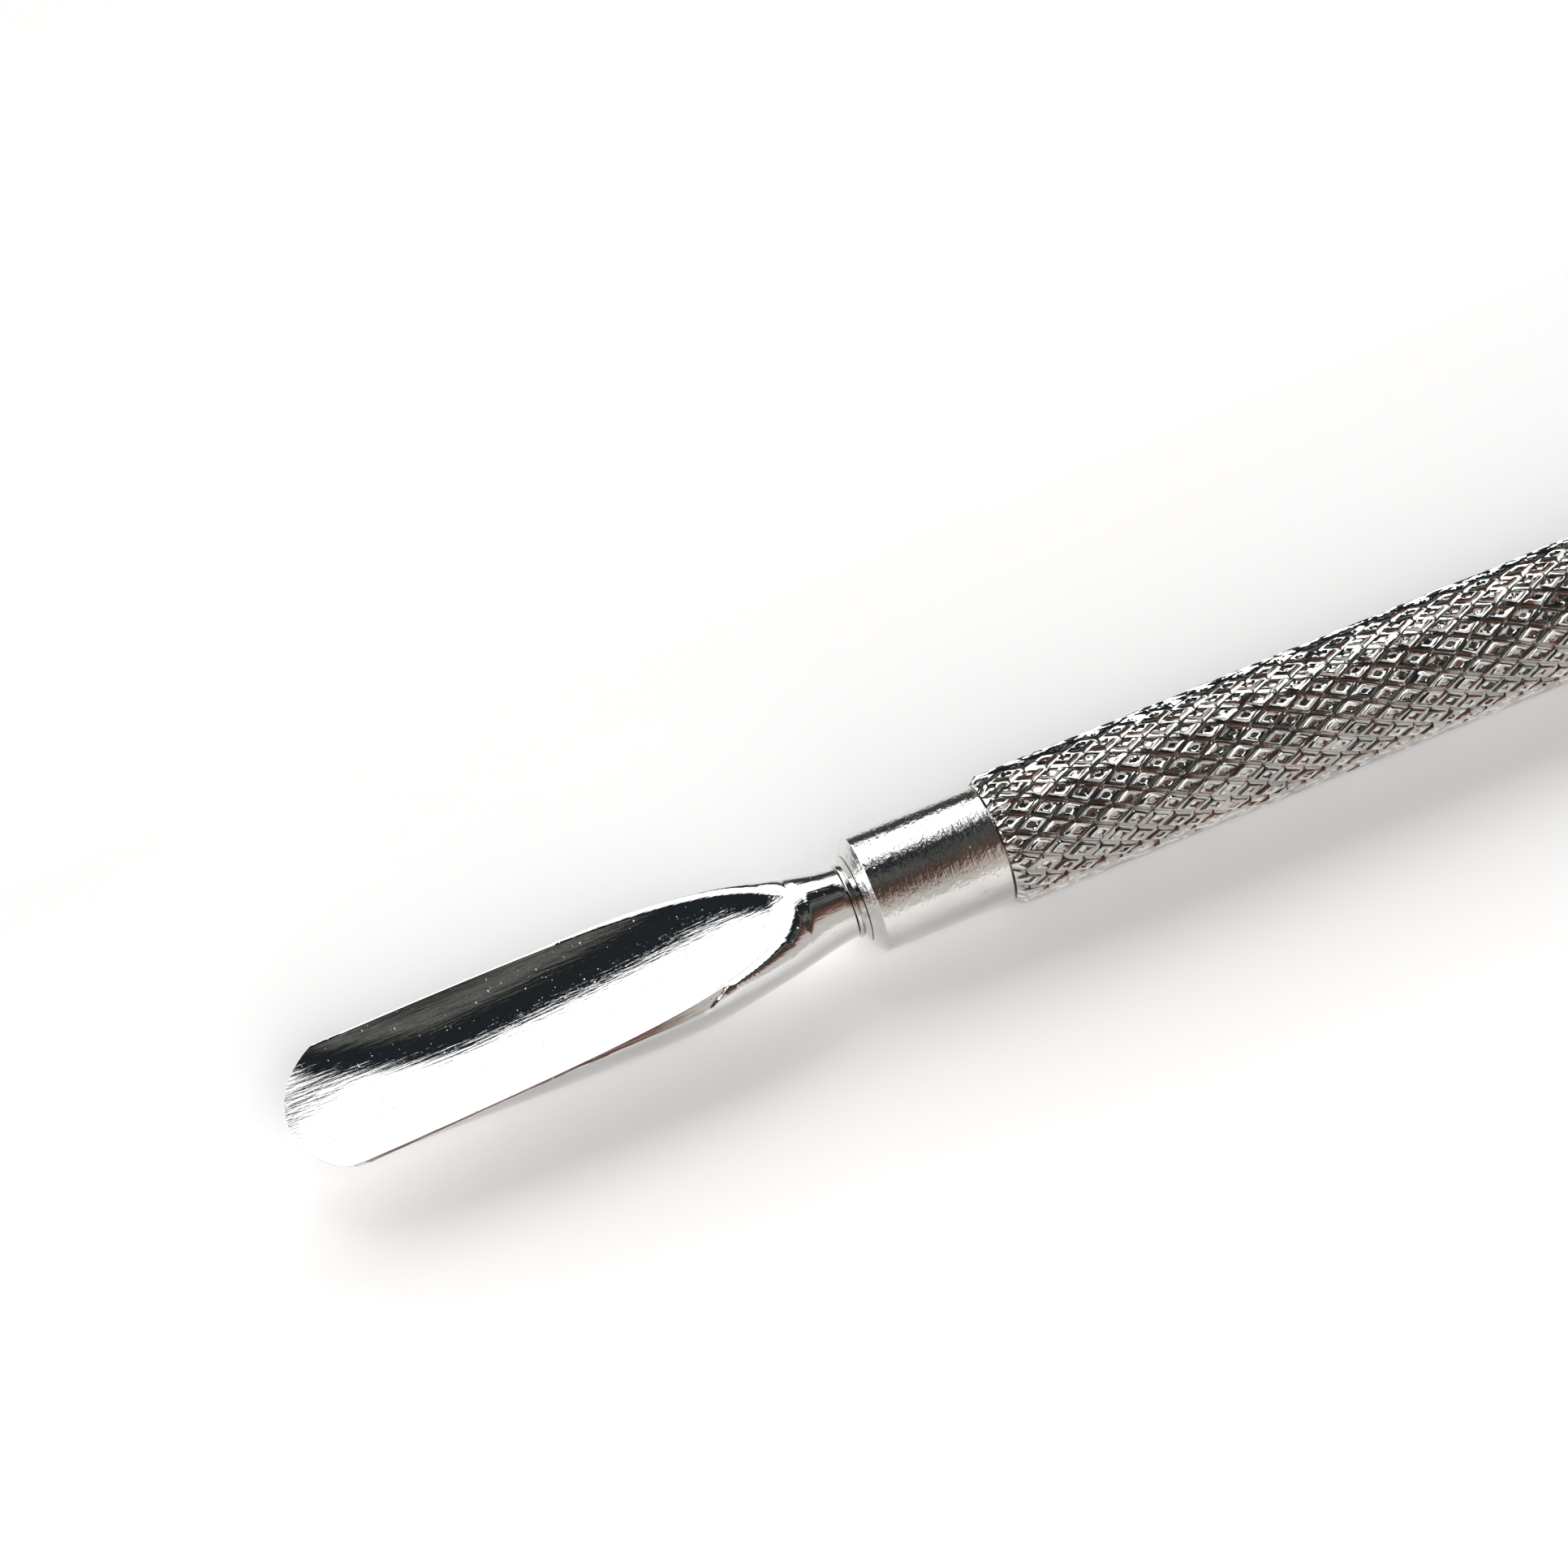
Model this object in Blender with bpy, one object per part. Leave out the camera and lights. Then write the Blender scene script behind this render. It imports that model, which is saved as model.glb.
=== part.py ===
"""Double-ended cuticle pusher: a knurled grip tube with a pressed-in collar at each end.

One collar holds a hollow-ground spoon and the other a small slanted scraper. Each blade's shank
sits in its collar's socket under a ring of braze. The tool lies along X with the spoon at -X and
the hollow facing up (+Z), and it rests on the knurl. The origin is the middle of the bounding
box's underside.
"""

import math

import bmesh
import bpy

MM = 0.001

# ---------------------------------------------------------------- driving dimensions (mm)
GRIP_LENGTH = 72.0            # knurled tube, end to end
CREST_RADIUS = 3.5            # knurl, over the diamond tips
GROOVE_RADIUS = 3.16          # knurl, in the grooves
KNURL_STARTS = 19             # diamonds round the grip
KNURL_PITCH = 2.05            # length of one diamond along the grip
KNURL_BEVEL = 0.35            # smooth cone at each end of the knurl
BORE_RADIUS = 2.3             # inside of the tube

COLLAR_RADIUS = 3.1
COLLAR_LENGTH = 7.05
SPIGOT_RADIUS = 2.25          # the part of the collar inside the tube
SPIGOT_LENGTH = 6.0
SOCKET_RADIUS = 1.25
SOCKET_DEPTH = 6.0
NOSE_LENGTH = 0.52            # conical nose, along the axis
NOSE_RADIUS = 2.36            # small end of the cone
RING_CURVE = 0.26             # length of the braze ring's hollow curve
RING_THROAT = 1.91            # radius where that curve ends
RING_BEAD = 0.22              # length of the bead on the neck

FIT_GAP = 0.05                # clearance between pieces that are pressed or brazed together
SEAM_GAP = 0.10               # visible seam between collar and tube

SHANK_RADIUS = 1.18
SHANK_DEPTH = 5.2             # how far a shank reaches behind the collar's front edge
NECK_START = 1.12             # where a neck begins, ahead of the collar's front edge

SPOON_ROOT = 3.75             # where the hollow begins, ahead of the collar's front edge
SPOON_CORNER = 28.35          # where the rounded tip begins
SPOON_HALF_WIDTH = 3.97       # at the rounded tip's corners
SPOON_DEEPEST = 11.5          # where the underside is lowest
SPOON_BELLY = 3.14            # how far the underside drops below the axis there
TIP_RADIUS = 4.15             # rounded tip, seen from above
TIP_UNDERSIDE = 0.15          # how far the apex lies below the axis
BOW_START = 16.0              # the blade's rings begin to bow towards the tip here
NECK_RADIUS = 1.86
FLARE_WIDTH = 1.80            # how much wider the blade grows than the neck, each side
FLARE_LENGTH = 5.0
RIM_HEIGHT = 0.36             # rim above the axis at the tip's corners
RIM_SLOPE = 0.0475            # rise of the rim per millimetre towards the collar
HOLLOW_HALF_WIDTH = 3.87
HOLLOW_DEPTH = 1.38           # below the rim, where the hollow is fully sunk
HOLLOW_SINK_LENGTH = 11.0     # how slowly it sinks from the root
LAND_WIDTH = 0.26             # flat rim beside the hollow, near the root
EDGE_WIDTH = 0.05             # the same at the cutting edge

SCRAPER_REACH = 21.5          # long corner of the scraper ahead of its collar's edge
SCRAPER_SLANT = 3.4           # how much shorter the other corner is
SCRAPER_HALF_WIDTH = 2.5
SCRAPER_HALF_THICK = 0.45
SCRAPER_BEVEL = 2.6           # length of the ground bevel behind the scraper's edge
SCRAPER_EDGE_THICK = 0.15

ROUND_SIDES = 48              # sides of the turned pieces
CURVE_STEPS = 5               # points along a small curve of a turned piece
BLADE_RINGS = 25              # rings along the spoon's hollow
SCRAPER_RINGS = 14
ARC_STEPS = 20                # points along the spoon's underside and along its hollow
SHOULDER_STEPS = 4            # points from the spoon's widest place up to its rim
SIDE_STEPS = 12               # points round each side of the scraper

TIP_LENGTH = TIP_RADIUS - math.sqrt(TIP_RADIUS ** 2 - SPOON_HALF_WIDTH ** 2)
SPOON_REACH = SPOON_CORNER + TIP_LENGTH                    # apex ahead of the collar's edge
TOOL_LENGTH = SPOON_REACH + COLLAR_LENGTH * 2 + GRIP_LENGTH + SCRAPER_REACH
KNURL_SIDES = KNURL_STARTS * 2                             # diamond tips lie on this many lines
AXIS_HEIGHT = CREST_RADIUS * math.cos(math.pi / KNURL_SIDES)   # the grip rests on two of them
SPOON_EDGE_X = -TOOL_LENGTH / 2 + SPOON_REACH              # front edge of the spoon's collar
GRIP_START_X = SPOON_EDGE_X + COLLAR_LENGTH
GRIP_END_X = GRIP_START_X + GRIP_LENGTH
SCRAPER_EDGE_X = GRIP_END_X + COLLAR_LENGTH                # front edge of the scraper's collar


# ---------------------------------------------------------------- helpers
def clear_scene():
    for obj in list(bpy.data.objects):
        bpy.data.objects.remove(obj, do_unlink=True)


def steel(name, colour, roughness):
    material = bpy.data.materials.new(name)
    material.use_nodes = True
    shader = material.node_tree.nodes["Principled BSDF"]
    shader.inputs["Base Color"].default_value = (*colour, 1.0)
    shader.inputs["Metallic"].default_value = 1.0
    shader.inputs["Roughness"].default_value = roughness
    return material


def add_piece(name, bm, material, sharp_angle):
    """Turn a bmesh in millimetres into a named object in metres."""
    bmesh.ops.remove_doubles(bm, verts=bm.verts, dist=1e-4)
    bmesh.ops.recalc_face_normals(bm, faces=bm.faces)
    bmesh.ops.scale(bm, vec=(MM, MM, MM), verts=bm.verts)
    mesh = bpy.data.meshes.new(name)
    bm.to_mesh(mesh)
    bm.free()
    mesh.materials.append(material)
    mesh.shade_smooth()
    mesh.set_sharp_from_angle(angle=math.radians(sharp_angle))
    piece = bpy.data.objects.new(name, mesh)
    bpy.context.collection.objects.link(piece)
    return piece


def at_axis(piece, x_mm, turned=False):
    """Place a piece on the tool's axis, turned end for end for the scraper end."""
    piece.location = (x_mm * MM, 0.0, AXIS_HEIGHT * MM)
    if turned:
        piece.rotation_euler = (0.0, 0.0, math.pi)


def turn(profile, sides):
    """Spin a closed profile of (x, radius) points round the X axis."""
    bm = bmesh.new()
    verts = [bm.verts.new((x, 0.0, radius)) for x, radius in profile]
    edges = [bm.edges.new((verts[i], verts[(i + 1) % len(verts)])) for i in range(len(verts))]
    bmesh.ops.spin(
        bm,
        geom=verts + edges,
        cent=(0.0, 0.0, 0.0),
        axis=(1.0, 0.0, 0.0),
        angle=2.0 * math.pi,
        steps=sides,
        use_merge=True,
    )
    return bm


def share(distance, start, end):
    """How far a distance lies between start and end, held to 0 and 1."""
    return max(0.0, min(1.0, (distance - start) / (end - start)))


def ease(distance, start, end):
    """The same, with a smooth start and finish."""
    t = share(distance, start, end)
    return t * t * (3.0 - 2.0 * t)


# ---------------------------------------------------------------- knurled grip
def knurl_rings():
    """Rings of the grip's skin: a smooth cone, then grooves and diamond tips in turn."""
    half_pitch = KNURL_PITCH / 2
    rows = int((GRIP_LENGTH - 2 * KNURL_BEVEL) / half_pitch)
    margin = (GRIP_LENGTH - rows * half_pitch) / 2
    rings = [(0.0, lambda side: COLLAR_RADIUS)]
    for row in range(rows + 1):
        x = margin + row * half_pitch
        rings.append((x, lambda side, row=row: CREST_RADIUS if (row + side) % 2 else GROOVE_RADIUS))
    rings.append((GRIP_LENGTH, lambda side: COLLAR_RADIUS))
    return rings


def knurl_angle(side):
    """Lines of diamond tips, with the lowest two on either side of the bottom."""
    return 2.0 * math.pi * (side + 0.5) / KNURL_SIDES - math.pi / 2


def grip_tube():
    bm = bmesh.new()
    skin = []
    for x, radius_at in knurl_rings():
        ring = []
        for side in range(KNURL_SIDES):
            angle = knurl_angle(side)
            radius = radius_at(side)
            ring.append(bm.verts.new((x, radius * math.cos(angle), radius * math.sin(angle))))
        skin.append(ring)
    bore = []
    for x in (0.0, GRIP_LENGTH):
        ring = []
        for side in range(KNURL_SIDES):
            angle = knurl_angle(side)
            ring.append(bm.verts.new((x, BORE_RADIUS * math.cos(angle), BORE_RADIUS * math.sin(angle))))
        bore.append(ring)
    last_row = len(skin) - 2
    for row in range(len(skin) - 1):
        for side in range(KNURL_SIDES):
            after = (side + 1) % KNURL_SIDES
            corners = (skin[row][side], skin[row][after], skin[row + 1][after], skin[row + 1][side])
            # each groove runs along the diagonal that joins the two low corners
            low_first = row == 0 or row == last_row or (row - 1 + side) % 2 == 0
            a, b, c, d = corners if low_first else corners[1:] + corners[:1]
            bm.faces.new((a, b, c))
            bm.faces.new((a, c, d))
    for side in range(KNURL_SIDES):
        after = (side + 1) % KNURL_SIDES
        bm.faces.new((bore[0][side], bore[0][after], bore[1][after], bore[1][side]))
        bm.faces.new((skin[0][side], skin[0][after], bore[0][after], bore[0][side]))
        bm.faces.new((skin[-1][side], skin[-1][after], bore[1][after], bore[1][side]))
    piece = add_piece("handle_tube", bm, steel("knurled_steel", (0.62, 0.62, 0.61), 0.18), 20)
    at_axis(piece, GRIP_START_X)


# ---------------------------------------------------------------- collars and root rings
def collar(name, edge_x, turned):
    """Barrel with a conical nose, a spigot for the tube and a socket for the shank."""
    back = COLLAR_LENGTH - SEAM_GAP
    profile = (
        (-NOSE_LENGTH, NOSE_RADIUS),
        (0.0, COLLAR_RADIUS),
        (back, COLLAR_RADIUS),
        (back, SPIGOT_RADIUS),
        (back + SPIGOT_LENGTH, SPIGOT_RADIUS),
        (back + SPIGOT_LENGTH + 0.3, SPIGOT_RADIUS - 0.3),
        (back + SPIGOT_LENGTH + 0.3, 0.6),
        (SOCKET_DEPTH + 0.4, 0.6),
        (SOCKET_DEPTH, SOCKET_RADIUS),
        (-NOSE_LENGTH, SOCKET_RADIUS),
    )
    brushed = steel(name + "_steel", (0.66, 0.66, 0.65), 0.22)
    piece = add_piece(name, turn(profile, ROUND_SIDES), brushed, 20)
    at_axis(piece, edge_x, turned)


def root_ring(name, edge_x, turned):
    """Ring of braze metal: a hollow curve off the collar's nose, then a small bead on the neck."""
    start = -NOSE_LENGTH - FIT_GAP
    outer = NOSE_RADIUS - 0.06
    profile = []
    for step in range(CURVE_STEPS + 1):
        angle = math.pi / 2 * step / CURVE_STEPS
        x = start - RING_CURVE * math.sin(angle)
        radius = RING_THROAT + (outer - RING_THROAT) * (1.0 - math.sin(angle))
        profile.append((x, radius))
    for step in range(1, CURVE_STEPS + 1):
        angle = math.pi * step / CURVE_STEPS
        x = start - RING_CURVE - RING_BEAD * (1.0 - math.cos(angle)) / 2
        profile.append((x, RING_THROAT + RING_BEAD * 0.4 * math.sin(angle)))
    profile.append((profile[-1][0], SOCKET_RADIUS))
    profile.append((start, SOCKET_RADIUS))
    braze = steel(name + "_braze", (0.60, 0.59, 0.56), 0.16)
    piece = add_piece(name, turn(profile, ROUND_SIDES), braze, 30)
    at_axis(piece, edge_x, turned)


# ---------------------------------------------------------------- spoon
def half_width(distance):
    flare = 1.0 - math.exp(-((max(distance, 1.0) - 1.0) / FLARE_LENGTH) ** 1.6)
    spread = SPOON_HALF_WIDTH - NECK_RADIUS - FLARE_WIDTH
    return NECK_RADIUS + FLARE_WIDTH * flare + spread * share(distance, 8.0, SPOON_CORNER)


def underside(distance):
    if distance < SPOON_DEEPEST:
        return -NECK_RADIUS - (SPOON_BELLY - NECK_RADIUS) * ease(distance, NECK_START, SPOON_DEEPEST)
    rise = share(distance, SPOON_DEEPEST, SPOON_REACH) ** 2
    return -SPOON_BELLY + (SPOON_BELLY - TIP_UNDERSIDE) * rise


def rim_height(distance):
    """Height of the rim: the round top of the neck, then a straight line down to the tip."""
    plane = RIM_HEIGHT + RIM_SLOPE * (SPOON_CORNER - distance)
    neck = NECK_RADIUS + 0.28 * ease(distance, 1.0, 3.5)
    return neck + (plane - neck) * ease(distance, SPOON_ROOT - 0.6, SPOON_ROOT + 1.3)


def widest_height(distance):
    """Height at which the section is widest: the axis at the neck, just under the rim at the tip."""
    lift = 0.5 * ease(distance, 2.5, 7.5) + 0.3 * ease(distance, 10.0, 16.0)
    return min(lift, rim_height(distance) - 0.10)


def hollow_half_width(distance):
    beyond = max(distance - SPOON_ROOT, 0.0)
    return HOLLOW_HALF_WIDTH * (1.0 - math.exp(-(beyond / 3.5) ** 0.80))


def hollow_floor(distance):
    beyond = max(distance - SPOON_ROOT, 0.0)
    sinking = 1.0 - math.exp(-(beyond / HOLLOW_SINK_LENGTH) ** 1.3)
    shallowing = 1.0 - 0.78 * share(distance, 22.0, SPOON_REACH) ** 2
    return rim_height(distance) - HOLLOW_DEPTH * sinking * shallowing


def land_width(distance):
    width = LAND_WIDTH - (LAND_WIDTH - EDGE_WIDTH) * share(distance, 12.0, 17.0)
    return width * share(distance, SPOON_ROOT, SPOON_ROOT + 0.8)


def spoon_section(distance):
    """Closed loop of (y, z) points: the underside, a shoulder, the hollow, the other shoulder."""
    wide = half_width(distance)
    waist = widest_height(distance)
    under = underside(distance)
    top = rim_height(distance)
    hollow = hollow_half_width(distance)
    rim = min(hollow + land_width(distance), wide - 0.01)

    steepest = math.radians(90.0 - 22.0 * share(distance, 16.0, SPOON_REACH) ** 1.5)
    across = wide / math.sin(steepest)
    drop = (waist - under) / (1.0 - math.cos(steepest))
    loop = []
    for step in range(ARC_STEPS + 1):
        angle = steepest * (2.0 * step / ARC_STEPS - 1.0)
        loop.append((across * math.sin(angle), under + drop * (1.0 - math.cos(angle))))

    shoulder = []
    for step in range(1, SHOULDER_STEPS + 1):
        angle = math.pi / 2 * step / SHOULDER_STEPS
        y = rim + (wide - rim) * math.cos(angle)
        z = waist + (top - waist) * math.sin(angle)
        shoulder.append((y, z))
    loop += shoulder

    floor = hollow_floor(distance)
    lean = max(2.0 * math.atan2(top - floor, hollow), 0.05)    # the hollow is an arc of a circle
    bowl = (top - floor) / (1.0 - math.cos(lean))
    for step in range(ARC_STEPS + 1):
        angle = lean * (1.0 - 2.0 * step / ARC_STEPS)
        loop.append((hollow * math.sin(angle) / math.sin(lean), floor + bowl * (1.0 - math.cos(angle))))
    loop += [(-y, z) for y, z in reversed(shoulder)]
    return loop


def tip_bow(distance, y):
    """How far a ring bows towards the tip at a place across the blade."""
    across = min(abs(y), SPOON_HALF_WIDTH)
    bow = math.sqrt(TIP_RADIUS ** 2 - across ** 2) - math.sqrt(TIP_RADIUS ** 2 - SPOON_HALF_WIDTH ** 2)
    return bow * share(distance, BOW_START, SPOON_CORNER) ** 1.5


def ring_distances():
    """Distances of the blade's rings: on the neck, then closest together at the hollow's root."""
    neck = [NECK_START, 1.7, 2.3, 3.0]
    length = SPOON_CORNER - SPOON_ROOT
    blade = [SPOON_ROOT + length * (i / BLADE_RINGS) ** 2 for i in range(BLADE_RINGS + 1)]
    return neck + blade


def skin(bm, rings):
    """Join each ring of vertices to the next with a band of faces."""
    size = len(rings[0])
    for near, far in zip(rings, rings[1:]):
        for i in range(size):
            j = (i + 1) % size
            bm.faces.new((near[i], near[j], far[j], far[i]))


def shank_rings(bm, loop, neck_radius):
    """Two rings that carry a blade's first section back into its collar as a thinner shank."""
    scale = SHANK_RADIUS / neck_radius
    return [[bm.verts.new((x, y * scale, z * scale)) for y, z in loop] for x in (SHANK_DEPTH, -NECK_START)]


def spoon():
    bm = bmesh.new()
    rings = shank_rings(bm, spoon_section(NECK_START), NECK_RADIUS)
    for distance in ring_distances():
        ring = []
        for index, (y, z) in enumerate(spoon_section(distance)):
            bowed = distance + tip_bow(distance, y)
            if bowed > distance:
                z = spoon_section(bowed)[index][1]
            ring.append(bm.verts.new((-bowed, y, z)))
        rings.append(ring)
    skin(bm, rings)
    bm.faces.new(rings[0])
    close_tip(bm, rings[-1])
    piece = add_piece("spoon_tip", bm, steel("spoon_polished_steel", (0.72, 0.72, 0.71), 0.06), 25)
    at_axis(piece, SPOON_EDGE_X)


def close_tip(bm, ring):
    """Fill the thin edge between the underside and the hollow with a strip of faces."""
    after_under = ARC_STEPS + 1
    after_shoulder = after_under + SHOULDER_STEPS
    after_hollow = after_shoulder + ARC_STEPS + 1
    under = ring[:after_under]
    right = ring[after_under:after_shoulder]
    hollow = list(reversed(ring[after_shoulder:after_hollow]))
    left = ring[after_hollow:]
    for i in range(ARC_STEPS):
        bm.faces.new((under[i], under[i + 1], hollow[i + 1], hollow[i]))
    bm.faces.new([under[-1]] + right + [hollow[-1]])
    bm.faces.new([hollow[0]] + left + [under[0]])


# ---------------------------------------------------------------- scraper
def scraper_section(distance):
    """Closed loop of (y, z) points: a round neck that flattens into a blade with round sides."""
    flat_share = ease(distance, 6.0, 13.5)
    slim = NECK_RADIUS - 0.45 * ease(distance, NECK_START, 6.0)
    wide = slim + (SCRAPER_HALF_WIDTH - slim) * flat_share
    thick = slim + (SCRAPER_HALF_THICK - slim) * flat_share
    flat = (SCRAPER_HALF_WIDTH - 0.35) * flat_share
    loop = []
    for side in (1.0, -1.0):
        for step in range(SIDE_STEPS + 1):
            angle = math.pi * step / SIDE_STEPS - math.pi / 2
            y = flat + (wide - flat) * math.cos(angle)
            loop.append((side * y, side * thick * math.sin(angle)))
    return loop


def scraper():
    bm = bmesh.new()
    rings = shank_rings(bm, scraper_section(NECK_START), NECK_RADIUS)
    flat_start = 13.5
    for i in range(SCRAPER_RINGS + 1):
        distance = NECK_START + (flat_start - NECK_START) * i / SCRAPER_RINGS
        rings.append([bm.verts.new((-distance, y, z)) for y, z in scraper_section(distance)])
    # the bevel is ground on the upper side only and ends in a slanted edge
    thick = 2.0 * SCRAPER_HALF_THICK
    for back, ground in ((SCRAPER_BEVEL, 0.0), (0.0, thick - SCRAPER_EDGE_THICK)):
        ring = []
        for y, z in scraper_section(flat_start):
            reach = SCRAPER_REACH - SCRAPER_SLANT * (0.5 + 0.5 * y / SCRAPER_HALF_WIDTH) - back
            height = (z + SCRAPER_HALF_THICK) / thick
            ring.append(bm.verts.new((-reach, y, z - ground * height)))
        rings.append(ring)
    skin(bm, rings)
    bm.faces.new(rings[0])
    bm.faces.new(rings[-1])
    piece = add_piece("scraper_tip", bm, steel("scraper_polished_steel", (0.72, 0.72, 0.71), 0.08), 25)
    at_axis(piece, SCRAPER_EDGE_X, turned=True)


def main():
    clear_scene()
    grip_tube()
    collar("spoon_collar", SPOON_EDGE_X, False)
    collar("scraper_collar", SCRAPER_EDGE_X, True)
    root_ring("spoon_root_ring", SPOON_EDGE_X, False)
    root_ring("scraper_root_ring", SCRAPER_EDGE_X, True)
    spoon()
    scraper()


main()
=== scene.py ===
# %% [markdown]
# # A cuticle pusher, piece by piece
#
# The tool is a slim double-ended hand tool of steel. A knurled grip tube holds a smooth turned
# collar at each end. One collar carries a hollow-ground spoon and the other a small slanted
# scraper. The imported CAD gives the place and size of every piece. This lesson builds the fine
# surface that the CAD leaves out: the diamonds of the knurl, the turned marks on the collars,
# the ground rim of the spoon and its polished hollow.

import math
import random

import bmesh
import bpy
from mathutils import Matrix, Vector


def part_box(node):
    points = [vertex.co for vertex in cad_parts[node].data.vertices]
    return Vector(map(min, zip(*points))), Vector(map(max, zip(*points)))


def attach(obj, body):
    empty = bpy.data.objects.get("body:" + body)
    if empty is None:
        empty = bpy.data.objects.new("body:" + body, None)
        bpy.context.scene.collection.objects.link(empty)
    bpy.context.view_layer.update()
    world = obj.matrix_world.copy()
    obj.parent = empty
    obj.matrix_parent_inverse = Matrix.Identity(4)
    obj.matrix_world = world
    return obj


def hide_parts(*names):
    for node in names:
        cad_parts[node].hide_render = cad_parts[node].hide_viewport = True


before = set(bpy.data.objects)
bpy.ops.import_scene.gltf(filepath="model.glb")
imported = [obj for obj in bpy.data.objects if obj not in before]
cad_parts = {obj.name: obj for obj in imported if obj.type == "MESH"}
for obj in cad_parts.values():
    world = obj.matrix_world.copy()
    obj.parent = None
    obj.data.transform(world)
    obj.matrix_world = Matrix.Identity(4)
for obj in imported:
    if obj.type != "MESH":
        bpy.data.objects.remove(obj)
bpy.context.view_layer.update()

# %% [markdown]
# The tool's axis and the two collar edges are the places that everything else is measured from.
# They could be typed in again, but then a change in the CAD would leave the fine pieces behind.
# So they are read from the collars' own boxes. All shapes below are in millimetres, and are
# made as if the tool's axis were the X axis, with the collar's front edge at zero.

# %% Where the axis and the collar edges are
MM = 0.001
NOSE_LENGTH = 0.52
COLLAR_LENGTH = 7.05
low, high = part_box("spoon_collar")
AXIS_HEIGHT = (low.z + high.z) / 2
SPOON_EDGE = low.x + NOSE_LENGTH * MM
SCRAPER_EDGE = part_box("scraper_collar")[1].x - NOSE_LENGTH * MM
GRIP_START = SPOON_EDGE + COLLAR_LENGTH * MM
GRIP_LENGTH = (SCRAPER_EDGE - GRIP_START) / MM - COLLAR_LENGTH
print("axis height", round(AXIS_HEIGHT / MM, 3), "grip length", round(GRIP_LENGTH, 3))

# %% [markdown]
# Three small helpers are used for every piece. `share` and `ease` say how far a place lies
# between two others, straight or with a soft start and finish. `finish_piece` welds a mesh,
# scales it to metres, marks its sharp edges, sets it on the axis, hides the CAD node it stands
# for and hangs the piece under the root. The scraper's end is the same way round as the spoon's,
# so its pieces are turned half a turn about Z.


# %% Helpers
def share(place, start, end):
    return max(0.0, min(1.0, (place - start) / (end - start)))


def ease(place, start, end):
    t = share(place, start, end)
    return t * t * (3.0 - 2.0 * t)


def finish_piece(name, bm, node, edge_x, turned, sharp_angle, material):
    bmesh.ops.remove_doubles(bm, verts=bm.verts, dist=2e-4)
    bmesh.ops.dissolve_degenerate(bm, edges=bm.edges, dist=1e-5)
    bmesh.ops.recalc_face_normals(bm, faces=bm.faces)
    place = Matrix.Translation((edge_x, 0.0, AXIS_HEIGHT))
    if turned:
        place = place @ Matrix.Rotation(math.pi, 4, "Z")
    bmesh.ops.transform(bm, matrix=place @ Matrix.Scale(MM, 4), verts=bm.verts)
    mesh = bpy.data.meshes.new(name)
    bm.to_mesh(mesh)
    bm.free()
    mesh.shade_smooth()
    mesh.set_sharp_from_angle(angle=math.radians(sharp_angle))
    mesh.materials.append(material)
    piece = bpy.data.objects.new(name, mesh)
    bpy.context.scene.collection.objects.link(piece)
    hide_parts(node)
    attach(piece, "root")
    print(name, len(mesh.polygons), "faces")
    return piece


# %% [markdown]
# ## Steel
#
# Every piece is bare steel, but each was finished another way, and that is what tells them
# apart. A node tree could be written out for each one. It is shorter to have one function that
# lays fine marks over a metal: `stretch` says how long the marks are along the tool and round
# it, and `depth` how far they tilt the surface. The marks are noise in cylinder coordinates
# (length and angle, with the third left at zero), so they run straight along the tool or
# straight round it.


# %% One steel, many finishes
def node(tree, kind, **values):
    made = tree.nodes.new(kind)
    for key, value in values.items():
        if hasattr(made, key):
            setattr(made, key, value)
        else:
            made.inputs[key].default_value = value
    return made


def cylinder_coordinates(tree):
    """Millimetres along the tool and round it at a 3 mm radius; the third coordinate is left at zero."""
    link = tree.links.new
    place = node(tree, "ShaderNodeTexCoord")
    split = node(tree, "ShaderNodeSeparateXYZ")
    link(place.outputs["Object"], split.inputs[0])
    along = node(tree, "ShaderNodeMath", operation="MULTIPLY")
    along.inputs[1].default_value = 1 / MM
    link(split.outputs["X"], along.inputs[0])
    up = node(tree, "ShaderNodeMath", operation="SUBTRACT")
    up.inputs[1].default_value = AXIS_HEIGHT
    link(split.outputs["Z"], up.inputs[0])
    angle = node(tree, "ShaderNodeMath", operation="ARCTAN2")
    link(split.outputs["Y"], angle.inputs[0])
    link(up.outputs[0], angle.inputs[1])
    around = node(tree, "ShaderNodeMath", operation="MULTIPLY")
    around.inputs[1].default_value = 3.0
    link(angle.outputs[0], around.inputs[0])
    join = node(tree, "ShaderNodeCombineXYZ")
    link(along.outputs[0], join.inputs["X"])
    link(around.outputs[0], join.inputs["Y"])
    return join.outputs[0]


def flat_coordinates(tree):
    """Plain millimetres along, across and up."""
    place = node(tree, "ShaderNodeTexCoord")
    scale = node(tree, "ShaderNodeVectorMath", operation="SCALE")
    scale.inputs["Scale"].default_value = 1 / MM
    tree.links.new(place.outputs["Object"], scale.inputs[0])
    return scale.outputs[0]


def marks(tree, place, stretch, detail, seed):
    """Noise whose grains are stretch = (along, around, out) in size, in millimetres."""
    mapping = node(tree, "ShaderNodeMapping")
    mapping.inputs["Scale"].default_value = [1.0 / s for s in stretch]
    mapping.inputs["Location"].default_value = (seed, seed * 0.7, seed * 1.3)
    tree.links.new(place, mapping.inputs["Vector"])
    noise = node(tree, "ShaderNodeTexNoise", Scale=1.0, Detail=detail, Roughness=0.55)
    tree.links.new(mapping.outputs[0], noise.inputs["Vector"])
    return noise.outputs[0]


def remap(tree, value, low_in, high_in, low_out, high_out):
    made = node(tree, "ShaderNodeMapRange")
    made.inputs["From Min"].default_value = low_in
    made.inputs["From Max"].default_value = high_in
    made.inputs["To Min"].default_value = low_out
    made.inputs["To Max"].default_value = high_out
    tree.links.new(value, made.inputs["Value"])
    return made.outputs[0]


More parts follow.
